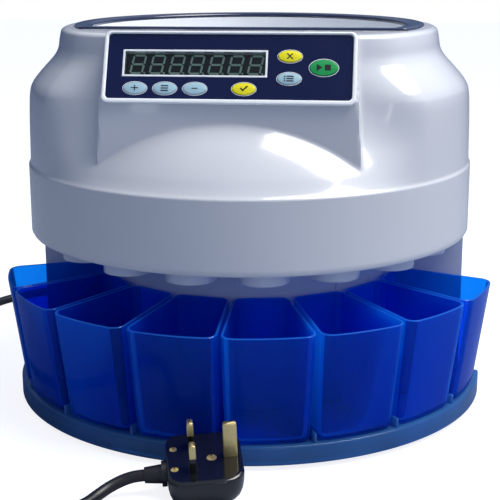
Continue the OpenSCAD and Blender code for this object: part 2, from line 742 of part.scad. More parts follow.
module lead(points) {
    sides = 10;
    line = concat([for (i = [0 : len(points) - 2], t = [0, 0.5]) on_route(points, i, t)],
        [points[len(points) - 1]]);
    last = len(line) - 1;
    rings = [for (i = [0 : last])
        let (along = unit(ahead(line, i + 1) - before(line, i - 1)),
            across = unit(cross(along, [0, 0, 1])), up = cross(across, along))
        for (k = [0 : sides - 1]) let (a = 360 * k / sides)
        line[i] + cord_d / 2 * (cos(a) * across + sin(a) * up)];
    skin = [for (i = [0 : last - 1], k = [0 : sides - 1]) let (m = (k + 1) % sides)
        [i * sides + k, i * sides + m, (i + 1) * sides + m, (i + 1) * sides + k]];
    first_face = [for (k = [0 : sides - 1]) sides - 1 - k];
    last_face = [for (k = [0 : sides - 1]) last * sides + k];
    polyhedron(rings, concat(skin, [first_face, last_face]));
}
module power_cord() {
    color("black") {
        lead(ROUTE_TO_COIL);
        lead(ROUTE_TO_PLUG);
    }
}
module cord_coil() {
    color("black") translate([COIL_AT[0], COIL_AT[1], 0]) rotate_extrude() {
        translate([COIL_IN, 0.1]) square([COIL_OUT - COIL_IN, COIL_H - 0.1]);
    }
}
module cord_tie() {
    color("gray") translate([COIL_AT[0], COIL_AT[1], 0]) rotate([0, 0, -20]) difference() {
        translate([COIL_IN - 1.2, -3, 0]) cube([COIL_OUT - COIL_IN + 2.4, 6, COIL_H + 1.2]);
        translate([COIL_IN, -4, -1]) cube([COIL_OUT - COIL_IN, 8, COIL_H + 1]);
    }
}

// Three-pin plug. It stands on the rounded edge of its back, and the stiff lead holds it a
// little tipped. Its own Y runs from the lead to the earth pin, and its own Z along the pins.
LEAD_END = [-39, -190.5, 11.8];
PLUG_TURN = -78;
PLUG_TILT = 13;
GRIP_L = 13;
BACK_Z = -9;
FACE_Z = 9.5;
PIN_LINE = GRIP_L + 15;
module at_plug() {
    translate(LEAD_END) rotate([PLUG_TILT, 0, 0]) rotate([0, 0, PLUG_TURN]) children();
}
module plug_grip() {
    color("black") at_plug() rotate([-90, 0, 0]) {
        cylinder(r1 = 4.6, r2 = 5.6, h = GRIP_L - 3 + eps);
        translate([0, 0, GRIP_L - 3]) cylinder(r = 7.5, h = 3);
    }
}
module plug_outline(inset) {
    hull() {
        for (x = [-16, 16]) translate([x, GRIP_L + 9]) circle(r = 9 - inset, $fn = 32);
        for (x = [-13, 13]) translate([x, GRIP_L + 33]) circle(r = 11 - inset, $fn = 32);
    }
}
module plug_body() {
    color("black") at_plug() difference() {
        hull() {
            translate([0, 0, BACK_Z]) linear_extrude(eps) plug_outline(7);
            translate([0, 0, BACK_Z + 2]) linear_extrude(eps) plug_outline(3);
            translate([0, 0, BACK_Z + 7]) linear_extrude(eps) plug_outline(0.4);
            translate([0, 0, FACE_Z - 1]) linear_extrude(eps) plug_outline(0);
            translate([0, 0, FACE_Z - eps]) linear_extrude(eps) plug_outline(0.8);
        }
        plug_pin_blades();
        plug_screw_rods(0);
    }
}
PIN_DEPTH = 6;
module plug_pin_blades() {
    for (x = [-11.1, 11.1]) translate([x - 3.2, PIN_LINE - 2, FACE_Z - PIN_DEPTH]) {
        cube([6.4, 4, PIN_DEPTH + 17.7]);
    }
    translate([-2, PIN_LINE + 22.2 - 4, FACE_Z - PIN_DEPTH]) cube([4, 8, PIN_DEPTH + 22.7]);
}
module plug_pins() {
    color("goldenrod") at_plug() plug_pin_blades();
}
PLUG_SCREWS = [[-9.6, PIN_LINE - 10.5, 2.2], [9.6, PIN_LINE - 10.5, 2.2],
    [1, PIN_LINE + 11.2, 2.9]];
module plug_screw_rods(below) {
    for (s = PLUG_SCREWS) translate([s[0], s[1], FACE_Z - 5]) {
        cylinder(r = s[2], h = 5.5 - below, $fn = 32);
    }
}
module plug_screws() {
    color("gold") at_plug() difference() {
        plug_screw_rods(0.8);
        for (s = PLUG_SCREWS) translate([s[0] - 3, s[1] - 0.4, FACE_Z - 1.3]) {
            cube([6, 0.8, 3]);
        }
    }
}

// ---- fasteners ------------------------------------------------------------
module case_screws() {
    color("silver") {
        for (x = [-51, 51], z = [19, 85]) at_rear([x, z]) {
            translate([0, 0, -10]) cylinder(r = 1.65, h = 10 + eps, $fn = 32);
            cylinder(r = 3, h = 1.6, $fn = 32);
        }
    }
}

base_pan();
feet();
lower_housing();
tray();
chassis_deck();
upper_housing();
hopper_rim();
hopper_bowl();
sorting_plate();
plate_posts();
coin_chutes();
sensor_board();
coin_sensors();
feed_disc();
disc_shaft();
disc_gear();
shaft_bushes();
motor_bracket();
drive_motor();
motor_pinion();
motor_shaft();
transformer();
main_board();
board_parts();
panel_frame();
panel_overlay();
display_bezel();
display_window();
display_digits();
display_board();
key_switches();
key_plus();
key_batch();
key_minus();
key_set();
key_clear();
key_report();
key_start();
rear_panel();
power_switch();
switch_rocker();
fuse_holder();
data_port();
strain_relief();
power_cord();
cord_coil();
cord_tie();
plug_grip();
plug_body();
plug_pins();
plug_screws();
case_screws();
for (i = [0 : BIN_COUNT - 1]) coin_bin(i);
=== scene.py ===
import bpy
import bmesh
import math
from mathutils import Matrix, Vector


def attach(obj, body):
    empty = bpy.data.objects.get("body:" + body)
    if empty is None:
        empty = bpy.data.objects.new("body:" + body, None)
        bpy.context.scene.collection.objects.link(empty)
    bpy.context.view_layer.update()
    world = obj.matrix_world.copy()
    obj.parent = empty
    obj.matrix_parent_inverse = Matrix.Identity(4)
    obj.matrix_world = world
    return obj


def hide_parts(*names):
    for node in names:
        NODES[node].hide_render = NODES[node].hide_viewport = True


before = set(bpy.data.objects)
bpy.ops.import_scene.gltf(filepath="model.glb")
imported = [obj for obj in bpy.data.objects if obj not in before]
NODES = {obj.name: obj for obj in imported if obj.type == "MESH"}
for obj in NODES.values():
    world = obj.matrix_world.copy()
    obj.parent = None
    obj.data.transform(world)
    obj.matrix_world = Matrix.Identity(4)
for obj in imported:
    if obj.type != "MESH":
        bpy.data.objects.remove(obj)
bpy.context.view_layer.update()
scene = bpy.context.scene

# Lengths below are in millimetres, as in the CAD source, and MM turns them into metres.
MM = 0.001
AXIS_Y = 9.0          # the hopper axis stands this far behind the origin
TOP_Z = 255.0         # top face of the casing
SKIRT_Z = 118.0       # lower edge of the casing
WALL = 3.0
BIN_COUNT = 8
BINS_R = 170.0        # radius over the bins at their rims
BIN_STEP = 20.6       # degrees from one bin to the next
BIN_RIM_Z = 86.0
BIN_WALL = 1.4
TRAY_Z = 15.5         # floor of the tray, on which the bins stand
FEET_Z = 3.5          # lower edge of the tray
PAN_Z = 6.0
CONSOLE_Y = -118.8    # front of the console, from the hopper axis
PANEL_Z = 218.0       # lower edge of the sloping panel
PANEL_TILT = 64.0
PANEL_W = 148.0
PANEL_H = 41.0
PANEL_MID = 21.1      # middle of the panel, up its slope
CORD_D = 7.0


def sin(a):
    return math.sin(math.radians(a))


def cos(a):
    return math.cos(math.radians(a))


# ---- materials ---------------------------------------------------------------
def srgb(r, g, b):
    def linear(c):
        c /= 255.0
        return c / 12.92 if c <= 0.04045 else ((c + 0.055) / 1.055) ** 2.4
    return (linear(r), linear(g), linear(b), 1.0)


def shade(color, k):
    return tuple(min(1.0, c * k) for c in color[:3]) + (1.0,)


class Nodes:
    """A short way to build the node tree of a new material, or of a world that is given."""

    def __init__(self, name, world=None):
        self.mat = world or bpy.data.materials.new(name)
        self.mat.use_nodes = True
        self.tree = self.mat.node_tree
        self.tree.nodes.clear()
        self.out = self.add("ShaderNodeOutputWorld" if world else "ShaderNodeOutputMaterial")
        self.coordinates = self.add("ShaderNodeTexCoord")
        self.place = self.coordinates.outputs["Object"]

    def add(self, kind, **inputs):
        node = self.tree.nodes.new(kind)
        for key, value in inputs.items():
            self.set(node, key.replace("_", " "), value)
        return node

    def set(self, node, key, value):
        socket = node.inputs[key]
        if isinstance(value, bpy.types.NodeSocket):
            self.tree.links.new(value, socket)
        else:
            socket.default_value = value

    def noise(self, scale, detail=3.0, stretch=None):
        node = self.add("ShaderNodeTexNoise", Scale=scale, Detail=detail)
        place = self.place
        if stretch:
            mapping = self.add("ShaderNodeMapping", Scale=stretch)
            self.set(mapping, "Vector", place)
            place = mapping.outputs["Vector"]
        self.set(node, "Vector", place)
        return node.outputs["Fac"]

    def ramp(self, fac, low, high, start=0.3, end=0.7):
        node = self.add("ShaderNodeMapRange")
        node.clamp = True
        self.set(node, "Value", fac)
        self.set(node, "From Min", start)
        self.set(node, "From Max", end)
        self.set(node, "To Min", low)
        self.set(node, "To Max", high)
        return node.outputs["Result"]

    def blend(self, fac, a, b):
        node = self.add("ShaderNodeMix")
        node.data_type = "RGBA"
        # A mix node keeps its colour sockets in places 6 and 7, and its colour result in place 2.
        for place, value in ((0, fac), (6, a), (7, b)):
            self.set(node, place, value)
        return node.outputs[2]

    def mix(self, fac, first, second):
        node = self.add("ShaderNodeMixShader")
        self.set(node, "Fac", fac)
        self.tree.links.new(first, node.inputs[1])
        self.tree.links.new(second, node.inputs[2])
        return node.outputs["Shader"]

    def bump(self, height, strength, distance, under=None):
        node = self.add("ShaderNodeBump", Strength=strength, Distance=distance)
        self.set(node, "Height", height)
        if under is not None:
            self.set(node, "Normal", under)
        return node.outputs["Normal"]

    def edges(self):
        """1 on convex edges and 0 elsewhere."""
        point = self.add("ShaderNodeNewGeometry").outputs["Pointiness"]
        return self.ramp(point, 0.0, 1.0, 0.52, 0.60)

    def finish(self, shader):
        self.tree.links.new(shader, self.out.inputs["Surface"])
        return self.mat


def plastic(name, color, rough=0.3, tone=0.06, grain=0.05, grain_scale=900.0, coat=0.0,
            wear=0.25, streak=0.0, specular=0.5):
    """Moulded plastic or painted metal: slow colour drift, fine grain, paler worn edges."""
    n = Nodes(name)
    drift = n.noise(9.0, 2.0)
    base = n.blend(n.ramp(drift, 0.0, 1.0), shade(color, 1 - tone), shade(color, 1 + tone))
    base = n.blend(n.ramp(n.edges(), 0.0, wear, 0.0, 1.0), base, shade(color, 1.5))
    fine = n.noise(grain_scale, 4.0)
    roughness = n.ramp(n.noise(60.0, 5.0), rough - 0.04, rough + 0.04, 0.25, 0.75)
    normal = n.bump(fine, grain, 0.0004)
    if streak:
        normal = n.bump(n.noise(160.0, 3.0, (1, 1, 0.03)), streak, 0.0004, normal)
    shader = n.add("ShaderNodeBsdfPrincipled")
    for key, value in (("Base Color", base), ("Roughness", roughness), ("Normal", normal),
                       ("Coat Weight", coat), ("Coat Roughness", 0.04),
                       ("Specular IOR Level", specular)):
        n.set(shader, key, value)
    return n.finish(shader.outputs["BSDF"])


def metal(name, color, rough=0.3, brush=(1, 1, 12), tone=0.12):
    """Bare metal with fine brush lines and dull patches. brush stretches the lines."""
    n = Nodes(name)
    lines = n.noise(220.0, 3.0, brush)
    base = n.blend(n.ramp(lines, 0.0, 1.0), shade(color, 1 - tone), shade(color, 1 + tone))
    base = n.blend(n.ramp(n.noise(35.0, 4.0), 0.0, 0.5, 0.5, 0.8), base, shade(color, 0.7))
    shader = n.add("ShaderNodeBsdfPrincipled", Metallic=1.0)
    n.set(shader, "Base Color", base)
    n.set(shader, "Roughness", n.ramp(lines, rough - 0.08, rough + 0.12))
    n.set(shader, "Normal", n.bump(lines, 0.12, 0.0002))
    return n.finish(shader.outputs["BSDF"])


def tinted(name, body, through, clear, rough, scatter):
    """Clear coloured plastic: part of the light passes, tinted, part scatters; glossy skin."""
    n = Nodes(name)
    swirl = n.noise(14.0, 4.0, (1, 1, 0.4))
    base = n.blend(n.ramp(swirl, 0.0, 1.0), shade(body, 0.8), shade(body, 1.25))
    flow = n.bump(n.noise(22.0, 2.0, (1, 1, 0.3)), 0.25, 0.0012)
    normal = n.bump(n.noise(700.0, 3.0), 0.02, 0.0003, flow)
    skin = n.add("ShaderNodeBsdfPrincipled")
    n.set(skin, "Base Color", base)
    n.set(skin, "Roughness", n.ramp(n.noise(45.0, 4.0), rough - 0.04, rough + 0.06))
    n.set(skin, "Coat Weight", 0.5)
    n.set(skin, "Coat Roughness", 0.05)
    n.set(skin, "Normal", normal)
    depth = n.add("ShaderNodeBsdfTranslucent")
    n.set(depth, "Color", n.blend(n.ramp(swirl, 0.0, 1.0), shade(through, 0.8), shade(through, 1.1)))
    solid = n.mix(scatter, skin.outputs["BSDF"], depth.outputs["BSDF"])
    lens = n.add("ShaderNodeBsdfTransparent")
    n.set(lens, "Color", n.blend(n.ramp(swirl, 0.0, 1.0), shade(through, 0.9), shade(through, 1.1)))
    edge = n.add("ShaderNodeFresnel", IOR=1.45).outputs["Fac"]
    return n.finish(n.mix(n.ramp(edge, 1 - clear, 1.0, 0.03, 0.8), lens.outputs["BSDF"], solid))


def dark_glass(name):
    """A thin clear window with a faint smeared gloss."""
    n = Nodes(name)
    lens = n.add("ShaderNodeBsdfTransparent", Color=srgb(236, 240, 238))
    smear = n.noise(30.0, 5.0)
    gloss = n.add("ShaderNodeBsdfGlossy", Color=(1, 1, 1, 1))
    n.set(gloss, "Roughness", n.ramp(smear, 0.02, 0.12))
    n.set(gloss, "Normal", n.bump(smear, 0.01, 0.0002))
    edge = n.add("ShaderNodeFresnel", IOR=1.3).outputs["Fac"]
    return n.finish(n.mix(edge, lens.outputs["BSDF"], gloss.outputs["BSDF"]))


def circuit_board(name):
    """Green lacquer over raised copper tracks."""
    n = Nodes(name)
    cells = n.add("ShaderNodeTexVoronoi", Scale=260.0)
    cells.distance = "CHEBYCHEV"
    n.set(cells, "Vector", n.place)
    tracks = n.ramp(cells.outputs["Distance"], 0.0, 1.0, 0.35, 0.4)
    base = n.blend(tracks, srgb(22, 86, 48), srgb(38, 118, 66))
    shader = n.add("ShaderNodeBsdfPrincipled", Roughness=0.4)
    n.set(shader, "Base Color", base)
    n.set(shader, "Normal", n.bump(tracks, 0.3, 0.0001))
    return n.finish(shader.outputs["BSDF"])


HOUSING = plastic("housing_plastic", srgb(206, 208, 214), 0.2, 0.03, 0.03, 1100, coat=0.5, wear=0.1)
COLUMN = plastic("column_plastic", srgb(196, 202, 214), 0.3, 0.04, 0.08, 800, wear=0.12)
RIM = plastic("rim_plastic", srgb(24, 34, 66), 0.16, 0.08, 0.03, coat=0.6, wear=0.15)
BOWL = plastic("bowl_plastic", srgb(232, 236, 242), 0.14, 0.02, 0.03, coat=0.5, wear=0.1)
BIN = tinted("bin_blue_plastic", srgb(0, 108, 255), srgb(74, 184, 255), 0.80, 0.06, 0.5)
# A paler, less clear copy of the bin plastic for the bins' lips: a painted highlight along the rims.
BIN_RIM_HIGHLIGHT = tinted("bin_rim_highlight_plastic", srgb(30, 120, 240), srgb(70, 180, 255), 0.4, 0.08, 0.4)
TRAY = tinted("tray_blue_plastic", srgb(70, 130, 186), srgb(96, 172, 240), 0.3, 0.12, 0.5)
WHITE = plastic("inner_white_plastic", srgb(226, 228, 230), 0.3, 0.03, 0.05)
DARK = plastic("dark_plastic", srgb(42, 44, 48), 0.42, 0.1, 0.25, 600)
BLACK = plastic("black_gloss_plastic", srgb(16, 17, 20), 0.13, 0.15, 0.04, 700, coat=0.4, wear=0.12)
LEAD = plastic("lead_pvc", srgb(24, 25, 28), 0.34, 0.15, 0.10, 500, wear=0.1, streak=0.1)
RUBBER = plastic("foot_rubber", srgb(34, 34, 36), 0.75, 0.1, 0.4, 500)
STEEL = metal("brushed_steel", srgb(186, 190, 196), 0.28)
ZINC = metal("zinc_plate", srgb(168, 172, 178), 0.38, (1, 1, 1))
BRASS = metal("pin_brass", srgb(238, 214, 150), 0.34, (14, 14, 1), 0.06)
SCREW_BRASS = metal("screw_brass", srgb(255, 226, 150), 0.42, (1, 1, 1), 0.06)
BRONZE = metal("bush_bronze", srgb(176, 128, 74), 0.35, (1, 1, 1))
NYLON = plastic("gear_nylon", srgb(236, 230, 212), 0.45, 0.04, 0.1)
BOARD = circuit_board("board_green")
NAVY = plastic("navy_film", srgb(14, 25, 66), 0.3, 0.10, 0.3, 1600, wear=0.0, specular=0.22)
TRIM = plastic("white_trim", srgb(238, 241, 244), 0.25, 0.02, 0.04, wear=0.05)
GLASS = dark_glass("window_glass")
DIGIT = plastic("digit_green", srgb(226, 250, 222), 0.5, 0.08, 0.05, wear=0.0)
FACE_BLACK = plastic("display_black", srgb(18, 19, 18), 0.45, 0.1, 0.1, wear=0.0)
KEY_BLUE = plastic("key_blue", srgb(164, 198, 210), 0.38, 0.03, 0.2, 1400, wear=0.05)
KEY_YELLOW = plastic("key_yellow", srgb(236, 226, 20), 0.38, 0.03, 0.2, 1400, wear=0.05)
KEY_GREEN = plastic("key_green", srgb(8, 152, 76), 0.38, 0.05, 0.2, 1400, wear=0.05)
INK = plastic("symbol_ink", srgb(8, 9, 11), 0.5, 0.05, 0.05, wear=0.0)
RED = plastic("rocker_red", srgb(176, 26, 24), 0.25, 0.05, 0.05)
TIE = plastic("tie_nylon", srgb(120, 122, 126), 0.5, 0.08, 0.3, 500)

NODE_MATERIALS = {
    "base_pan": DARK, "feet": RUBBER, "lower_housing": COLUMN, "tray": TRAY,
    "chassis_deck": WHITE, "upper_housing": HOUSING, "hopper_rim": RIM, "hopper_bowl": BOWL,
    "sorting_plate": STEEL, "plate_posts": ZINC, "coin_chutes": COLUMN, "sensor_board": BOARD,
    "coin_sensors": DARK, "feed_disc": WHITE, "disc_shaft": STEEL, "disc_gear": NYLON,
    "shaft_bushes": BRONZE, "motor_bracket": ZINC, "drive_motor": ZINC, "motor_shaft": STEEL,
    "motor_pinion": NYLON, "transformer": DARK, "main_board": BOARD, "board_parts": DARK,
    "panel_frame": TRIM, "panel_overlay": NAVY, "display_bezel": TRIM, "display_window": GLASS,
    "display_digits": DIGIT, "display_board": BOARD, "key_switches": DARK,
    "key_plus": KEY_BLUE, "key_batch": KEY_BLUE, "key_minus": KEY_BLUE, "key_set": KEY_YELLOW,
    "key_clear": KEY_YELLOW, "key_report": KEY_BLUE, "key_start": KEY_GREEN,
    "rear_panel": DARK, "power_switch": BLACK, "switch_rocker": RED, "fuse_holder": BLACK,
    "data_port": ZINC, "strain_relief": LEAD, "power_cord": LEAD, "cord_coil": LEAD,
    "cord_tie": TIE, "plug_grip": LEAD, "plug_body": BLACK, "plug_pins": BRASS,
    "plug_screws": SCREW_BRASS, "case_screws": ZINC,
}
for name, node in NODES.items():
    node.data.materials.clear()
    node.data.materials.append(NODE_MATERIALS.get(name, BIN))


# ---- mesh helpers ------------------------------------------------------------
def to_frame(points, matrix=None):
    """Points in millimetres, placed by matrix, as metres in the shared frame."""
    matrix = matrix or Matrix.Identity(4)
    return [tuple((matrix @ Vector(p)) * MM) for p in points]


def face_outwards(mesh):
    """Turns the faces of closed forms outwards."""
    bm = bmesh.new()
    bm.from_mesh(mesh)
    bmesh.ops.recalc_face_normals(bm, faces=bm.faces)
    bm.to_mesh(mesh)
    bm.free()


class Shape:
    """Collects points and faces of several closed forms for one piece."""

    def __init__(self):
        self.points = []
        self.faces = []
        self.paints = []

    def loft(self, rings, paint=0, closed=False):
        """Joins rings of equal point count. closed joins the last ring to the first."""
        start, count = len(self.points), len(rings[0])
        self.points += [p for ring in rings for p in ring]
        faces = []
        for k in range(len(rings) if closed else len(rings) - 1):
            a, b = start + k * count, start + ((k + 1) % len(rings)) * count
            for i in range(count):
                j = (i + 1) % count
                faces.append([a + i, a + j, b + j, b + i])
        if not closed:
            faces.append([start + i for i in range(count - 1, -1, -1)])
            last = start + (len(rings) - 1) * count
            faces.append([last + i for i in range(count)])
        self.faces += faces
        self.paints += [paint] * len(faces)

    def make(self, name, body, materials, replaces=(), matrix=None, sharp=35.0):
        """Makes the piece and puts it on its body. sharp is the least angle of a hard edge."""
        mesh = bpy.data.meshes.new(name)
        mesh.from_pydata(to_frame(self.points, matrix), [], self.faces)
        mesh.validate()
        for material in materials:
            mesh.materials.append(material)
        mesh.polygons.foreach_set("material_index", self.paints)
        face_outwards(mesh)
        mesh.shade_smooth()
        mesh.set_sharp_from_angle(angle=math.radians(sharp))
        obj = bpy.data.objects.new(name, mesh)
        scene.collection.objects.link(obj)
        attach(obj, body)
        if replaces:
            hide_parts(*replaces)
        return obj


def inset(outline, by):
    """A closed counter-clockwise outline moved inwards by a small distance."""
    count = len(outline)
    moved = []
    for i, (x, y) in enumerate(outline):
        before, after = outline[i - 1], outline[(i + 1) % count]
        a = Vector((x - before[0], y - before[1])).normalized()
        b = Vector((after[0] - x, after[1] - y)).normalized()
        normal = Vector((-(a.y + b.y), a.x + b.x))
        size = max(normal.length, 1e-6)
        half = max(size / 2, 0.35)
        moved.append((x + normal.x / size * by / half, y + normal.y / size * by / half))
    return moved


def flat(outline, z):
    return [(x, y, z) for x, y in outline]


def rounded_outline(corners, radii, steps=8):
    """A polygon, counter-clockwise, with each corner turned into an arc."""
    out = []
    count = len(corners)
    for i, corner in enumerate(corners):
        p = Vector(corner)
        to_prev = (Vector(corners[i - 1]) - p).normalized()
        to_next = (Vector(corners[(i + 1) % count]) - p).normalized()
        r = radii[i] if isinstance(radii, (list, tuple)) else radii
        half = to_prev.angle(to_next) / 2
        reach = r / math.tan(half)
        centre = p + (to_prev + to_next).normalized() * (r / math.sin(half))
        start = p + to_prev * reach - centre
        end = p + to_next * reach - centre
        turn = math.atan2(start.x * end.y - start.y * end.x, start.dot(end))
        for k in range(steps + 1):
            out.append(tuple(centre + Matrix.Rotation(turn * k / steps, 2) @ start))
    return out


def box_outline(width, height, radius, at=(0, 0), steps=8):
    w, h = width / 2, height / 2
    corners = [(at[0] - w, at[1] - h), (at[0] + w, at[1] - h), (at[0] + w, at[1] + h),
               (at[0] - w, at[1] + h)]
    return rounded_outline(corners, radius, steps)


def oval_outline(half_w, half_h, at=(0, 0), count=64):
    return [(at[0] + half_w * math.cos(2 * math.pi * i / count),
             at[1] + half_h * math.sin(2 * math.pi * i / count)) for i in range(count)]


def prism_rings(outline, low, high, edge, steps=3):
    """Rings of an upright prism with a rounded top edge."""
    rings = [flat(outline, low)]
    for k in range(steps + 1):
        a = 90 * k / steps
        rings.append(flat(inset(outline, edge * (1 - cos(a))), high - edge * (1 - sin(a))))
    return rings


ON_AXIS = Matrix.Translation((0, AXIS_Y, 0))
ON_PANEL = Matrix.Translation((0, AXIS_Y + CONSOLE_Y, PANEL_Z)) @ Matrix.Rotation(
    math.radians(PANEL_TILT), 4, "X")

# ---- camera, light and floor -------------------------------------------------
CAMERA_AT = (0.0951, -0.8338, 0.3117)
CAMERA_TURN, CAMERA_DOWN, CAMERA_ROLL = 6.43, 14.24, -0.14
camera_data = bpy.data.cameras.new("camera")
camera_data.sensor_width = 36
camera_data.lens = 88.38
camera_data.clip_start = 0.05
camera_data.clip_end = 50
camera = bpy.data.objects.new("camera", camera_data)
camera.location = CAMERA_AT
camera.rotation_euler = (Matrix.Rotation(math.radians(CAMERA_TURN), 4, "Z")
                         @ Matrix.Rotation(math.radians(90 - CAMERA_DOWN), 4, "X")
                         @ Matrix.Rotation(math.radians(CAMERA_ROLL), 4, "Z")).to_euler()
scene.collection.objects.link(camera)
scene.camera = camera
scene.view_settings.view_transform = "Standard"

# The room: white where the camera sees it, and for lighting a pale ceiling, brighter on the
# right, over a dim blue-grey lower half.
scene.world = bpy.data.worlds.new("studio")
room = Nodes("studio", scene.world)
way = room.add("ShaderNodeSeparateXYZ")
room.set(way, "Vector", room.coordinates.outputs["Generated"])
height = room.ramp(way.outputs["Z"], 0.0, 1.0, 0.02, 0.42)
walls = room.blend(height, srgb(92, 112, 156), srgb(196, 212, 242))
fill = room.add("ShaderNodeBackground", Color=walls)
room.set(fill, "Strength", room.ramp(way.outputs["X"], 0.34, 0.86, -0.9, 0.9))
seen = room.add("ShaderNodeBackground", Color=(1, 1, 1, 1))
camera_ray = room.add("ShaderNodeLightPath").outputs["Is Camera Ray"]
room.finish(room.mix(camera_ray, fill.outputs["Background"], seen.outputs["Background"]))


def soft_light(name, at, aim, size, power, color=(1, 1, 1)):
    data = bpy.data.lights.new(name, "AREA")
    data.shape = "RECTANGLE"
    data.size, data.size_y = size
    data.energy = power
    data.color = color
    light = bpy.data.objects.new(name, data)
    light.location = at
    light.rotation_euler = (Vector(aim) - Vector(at)).to_track_quat("-Z", "Y").to_euler()
    scene.collection.objects.link(light)


soft_light("top_light", (0.62, -0.10, 1.35), (0, 0, 0.2), (0.9, 0.9), 25, (1.0, 0.965, 0.90))
soft_light("right_light", (1.25, -0.3, 1.2), (0, 0, 0.2), (0.8, 0.8), 1.5, (1.0, 0.97, 0.92))
soft_light("strip_right", (0.50, -1.5, 0.25), (0, 0, 0.15), (0.08, 0.7), 0.6)
soft_light("strip_left", (-0.35, -1.6, 0.25), (0, 0, 0.15), (0.05, 0.7), 0.45, (0.85, 0.92, 1.0))


def floor_paper(name):
    """Pale paper: it glows white for the camera and throws a dim blue-grey light back."""
    n = Nodes(name)
    paper = n.add("ShaderNodeBsdfPrincipled", Roughness=0.9)
    tone = n.blend(n.noise(4.0, 2.0), (0.26, 0.30, 0.38, 1), (0.30, 0.34, 0.42, 1))
    n.set(paper, "Base Color", tone)
    n.set(paper, "Normal", n.bump(n.noise(500.0, 3.0), 0.05, 0.0003))
    glow = n.add("ShaderNodeEmission", Color=(1, 1, 1, 1))
    ray = n.add("ShaderNodeLightPath").outputs["Is Camera Ray"]
    n.set(glow, "Strength", n.ramp(ray, 0.0, 0.85, 0.0, 1.0))
    both = n.add("ShaderNodeAddShader")
    n.tree.links.new(paper.outputs["BSDF"], both.inputs[0])
    n.tree.links.new(glow.outputs["Emission"], both.inputs[1])
    return n.finish(both.outputs["Shader"])


FLOOR_HALF = 4.0
floor_mesh = bpy.data.meshes.new("floor")
floor_mesh.from_pydata([(FLOOR_HALF * x, FLOOR_HALF * y, 0)
                        for x, y in ((-1, -1), (1, -1), (1, 1), (-1, 1))], [], [[0, 1, 2, 3]])
floor_mesh.materials.append(floor_paper("floor_paper"))
floor = bpy.data.objects.new("floor", floor_mesh)
scene.collection.objects.link(floor)

# ---- power lead --------------------------------------------------------------
# Points on the lead's middle line: from the strain relief to the coil, and from there over
# the floor to the plug.
ROUTE_TO_COIL = [
    (-34, 179.5, 26), (-34, 190, 25.5), (-36, 203, 21), (-42, 217, 14), (-52, 230, 8),
    (-66, 238, 4.6), (-82, 242, 3.6), (-100, 242.5, 3.6)]
ROUTE_TO_PLUG = [
    (-100, 242.5, 10.6), (-118, 242, 9.6), (-136, 238, 7.2), (-155, 233, 5), (-178, 224, 3.7),
    (-200, 209, 3.6), (-222, 190, 3.6), (-238, 168, 3.6), (-244, 145, 3.6), (-238, 115, 3.6),
    (-228, 85, 3.6), (-214, 40, 3.6), (-200, 0, 3.6), (-184, -50, 3.6), (-168, -100, 3.6),
    (-152, -150, 3.6), (-143, -172, 3.6), (-134.5, -193, 3.6), (-128, -209, 3.6),
    (-121, -220.5, 3.6), (-110, -229, 3.6), (-97, -232, 3.6), (-84, -229, 3.6),
    (-74.5, -222, 3.6), (-68, -213.5, 3.8), (-63.5, -205, 4.8), (-58.5, -198.8, 6.8),
    (-52, -194.2, 9.2), (-45.5, -191.8, 11), (-39, -190.5, 11.8)]
COIL_AT = (-100, 201)
# Each turn of the coil lies on its own radius and layer.
COIL_TURNS = [(41.5, 3.6), (34.5, 3.6), (34.5, 10.6), (41.5, 10.6)]
TURN_POINTS = 20
TURN_KEEPS = 0.75      # share of a turn before it starts to move over to the next one


def smooth_step(t):
    """A smooth rise from 0 to 1 while t goes from 0 to 1."""
    t = max(0.0, min(1.0, t))
    return t * t * (3 - 2 * t)


coil_points = []
for turn, (radius, height) in enumerate(COIL_TURNS):
    following = COIL_TURNS[min(turn + 1, len(COIL_TURNS) - 1)]
    for k in range(TURN_POINTS):
        if turn == 0 and k == 0:
            continue
        share = smooth_step((k / TURN_POINTS - TURN_KEEPS) / (1 - TURN_KEEPS))
        r = radius + (following[0] - radius) * share
        z = height + (following[1] - height) * share
        a = 90 + 360 * k / TURN_POINTS
        coil_points.append((COIL_AT[0] + r * cos(a), COIL_AT[1] + r * sin(a), z))
route = [Vector(p) * MM for p in ROUTE_TO_COIL + coil_points + ROUTE_TO_PLUG]
curve = bpy.data.curves.new("power_lead", "CURVE")
curve.dimensions = "3D"
curve.resolution_u = 6
curve.bevel_depth = CORD_D / 2 * MM
curve.bevel_resolution = 5
curve.use_fill_caps = True
spline = curve.splines.new("BEZIER")
spline.bezier_points.add(len(route) - 1)
for i, point in enumerate(spline.bezier_points):
    before, after = route[max(i - 1, 0)], route[min(i + 1, len(route) - 1)]
    slope = (after - before) / 2
    back = min(1.0, (route[i] - before).length / max(slope.length, 1e-9))
    ahead = min(1.0, (after - route[i]).length / max(slope.length, 1e-9))
    point.handle_left_type = point.handle_right_type = "FREE"
    point.co = route[i]
    point.handle_left = route[i] - slope / 3 * back
    point.handle_right = route[i] + slope / 3 * ahead
curve.materials.append(LEAD)
lead = bpy.data.objects.new("power_lead", curve)
scene.collection.objects.link(lead)
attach(lead, "machine")
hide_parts("power_cord", "cord_coil")

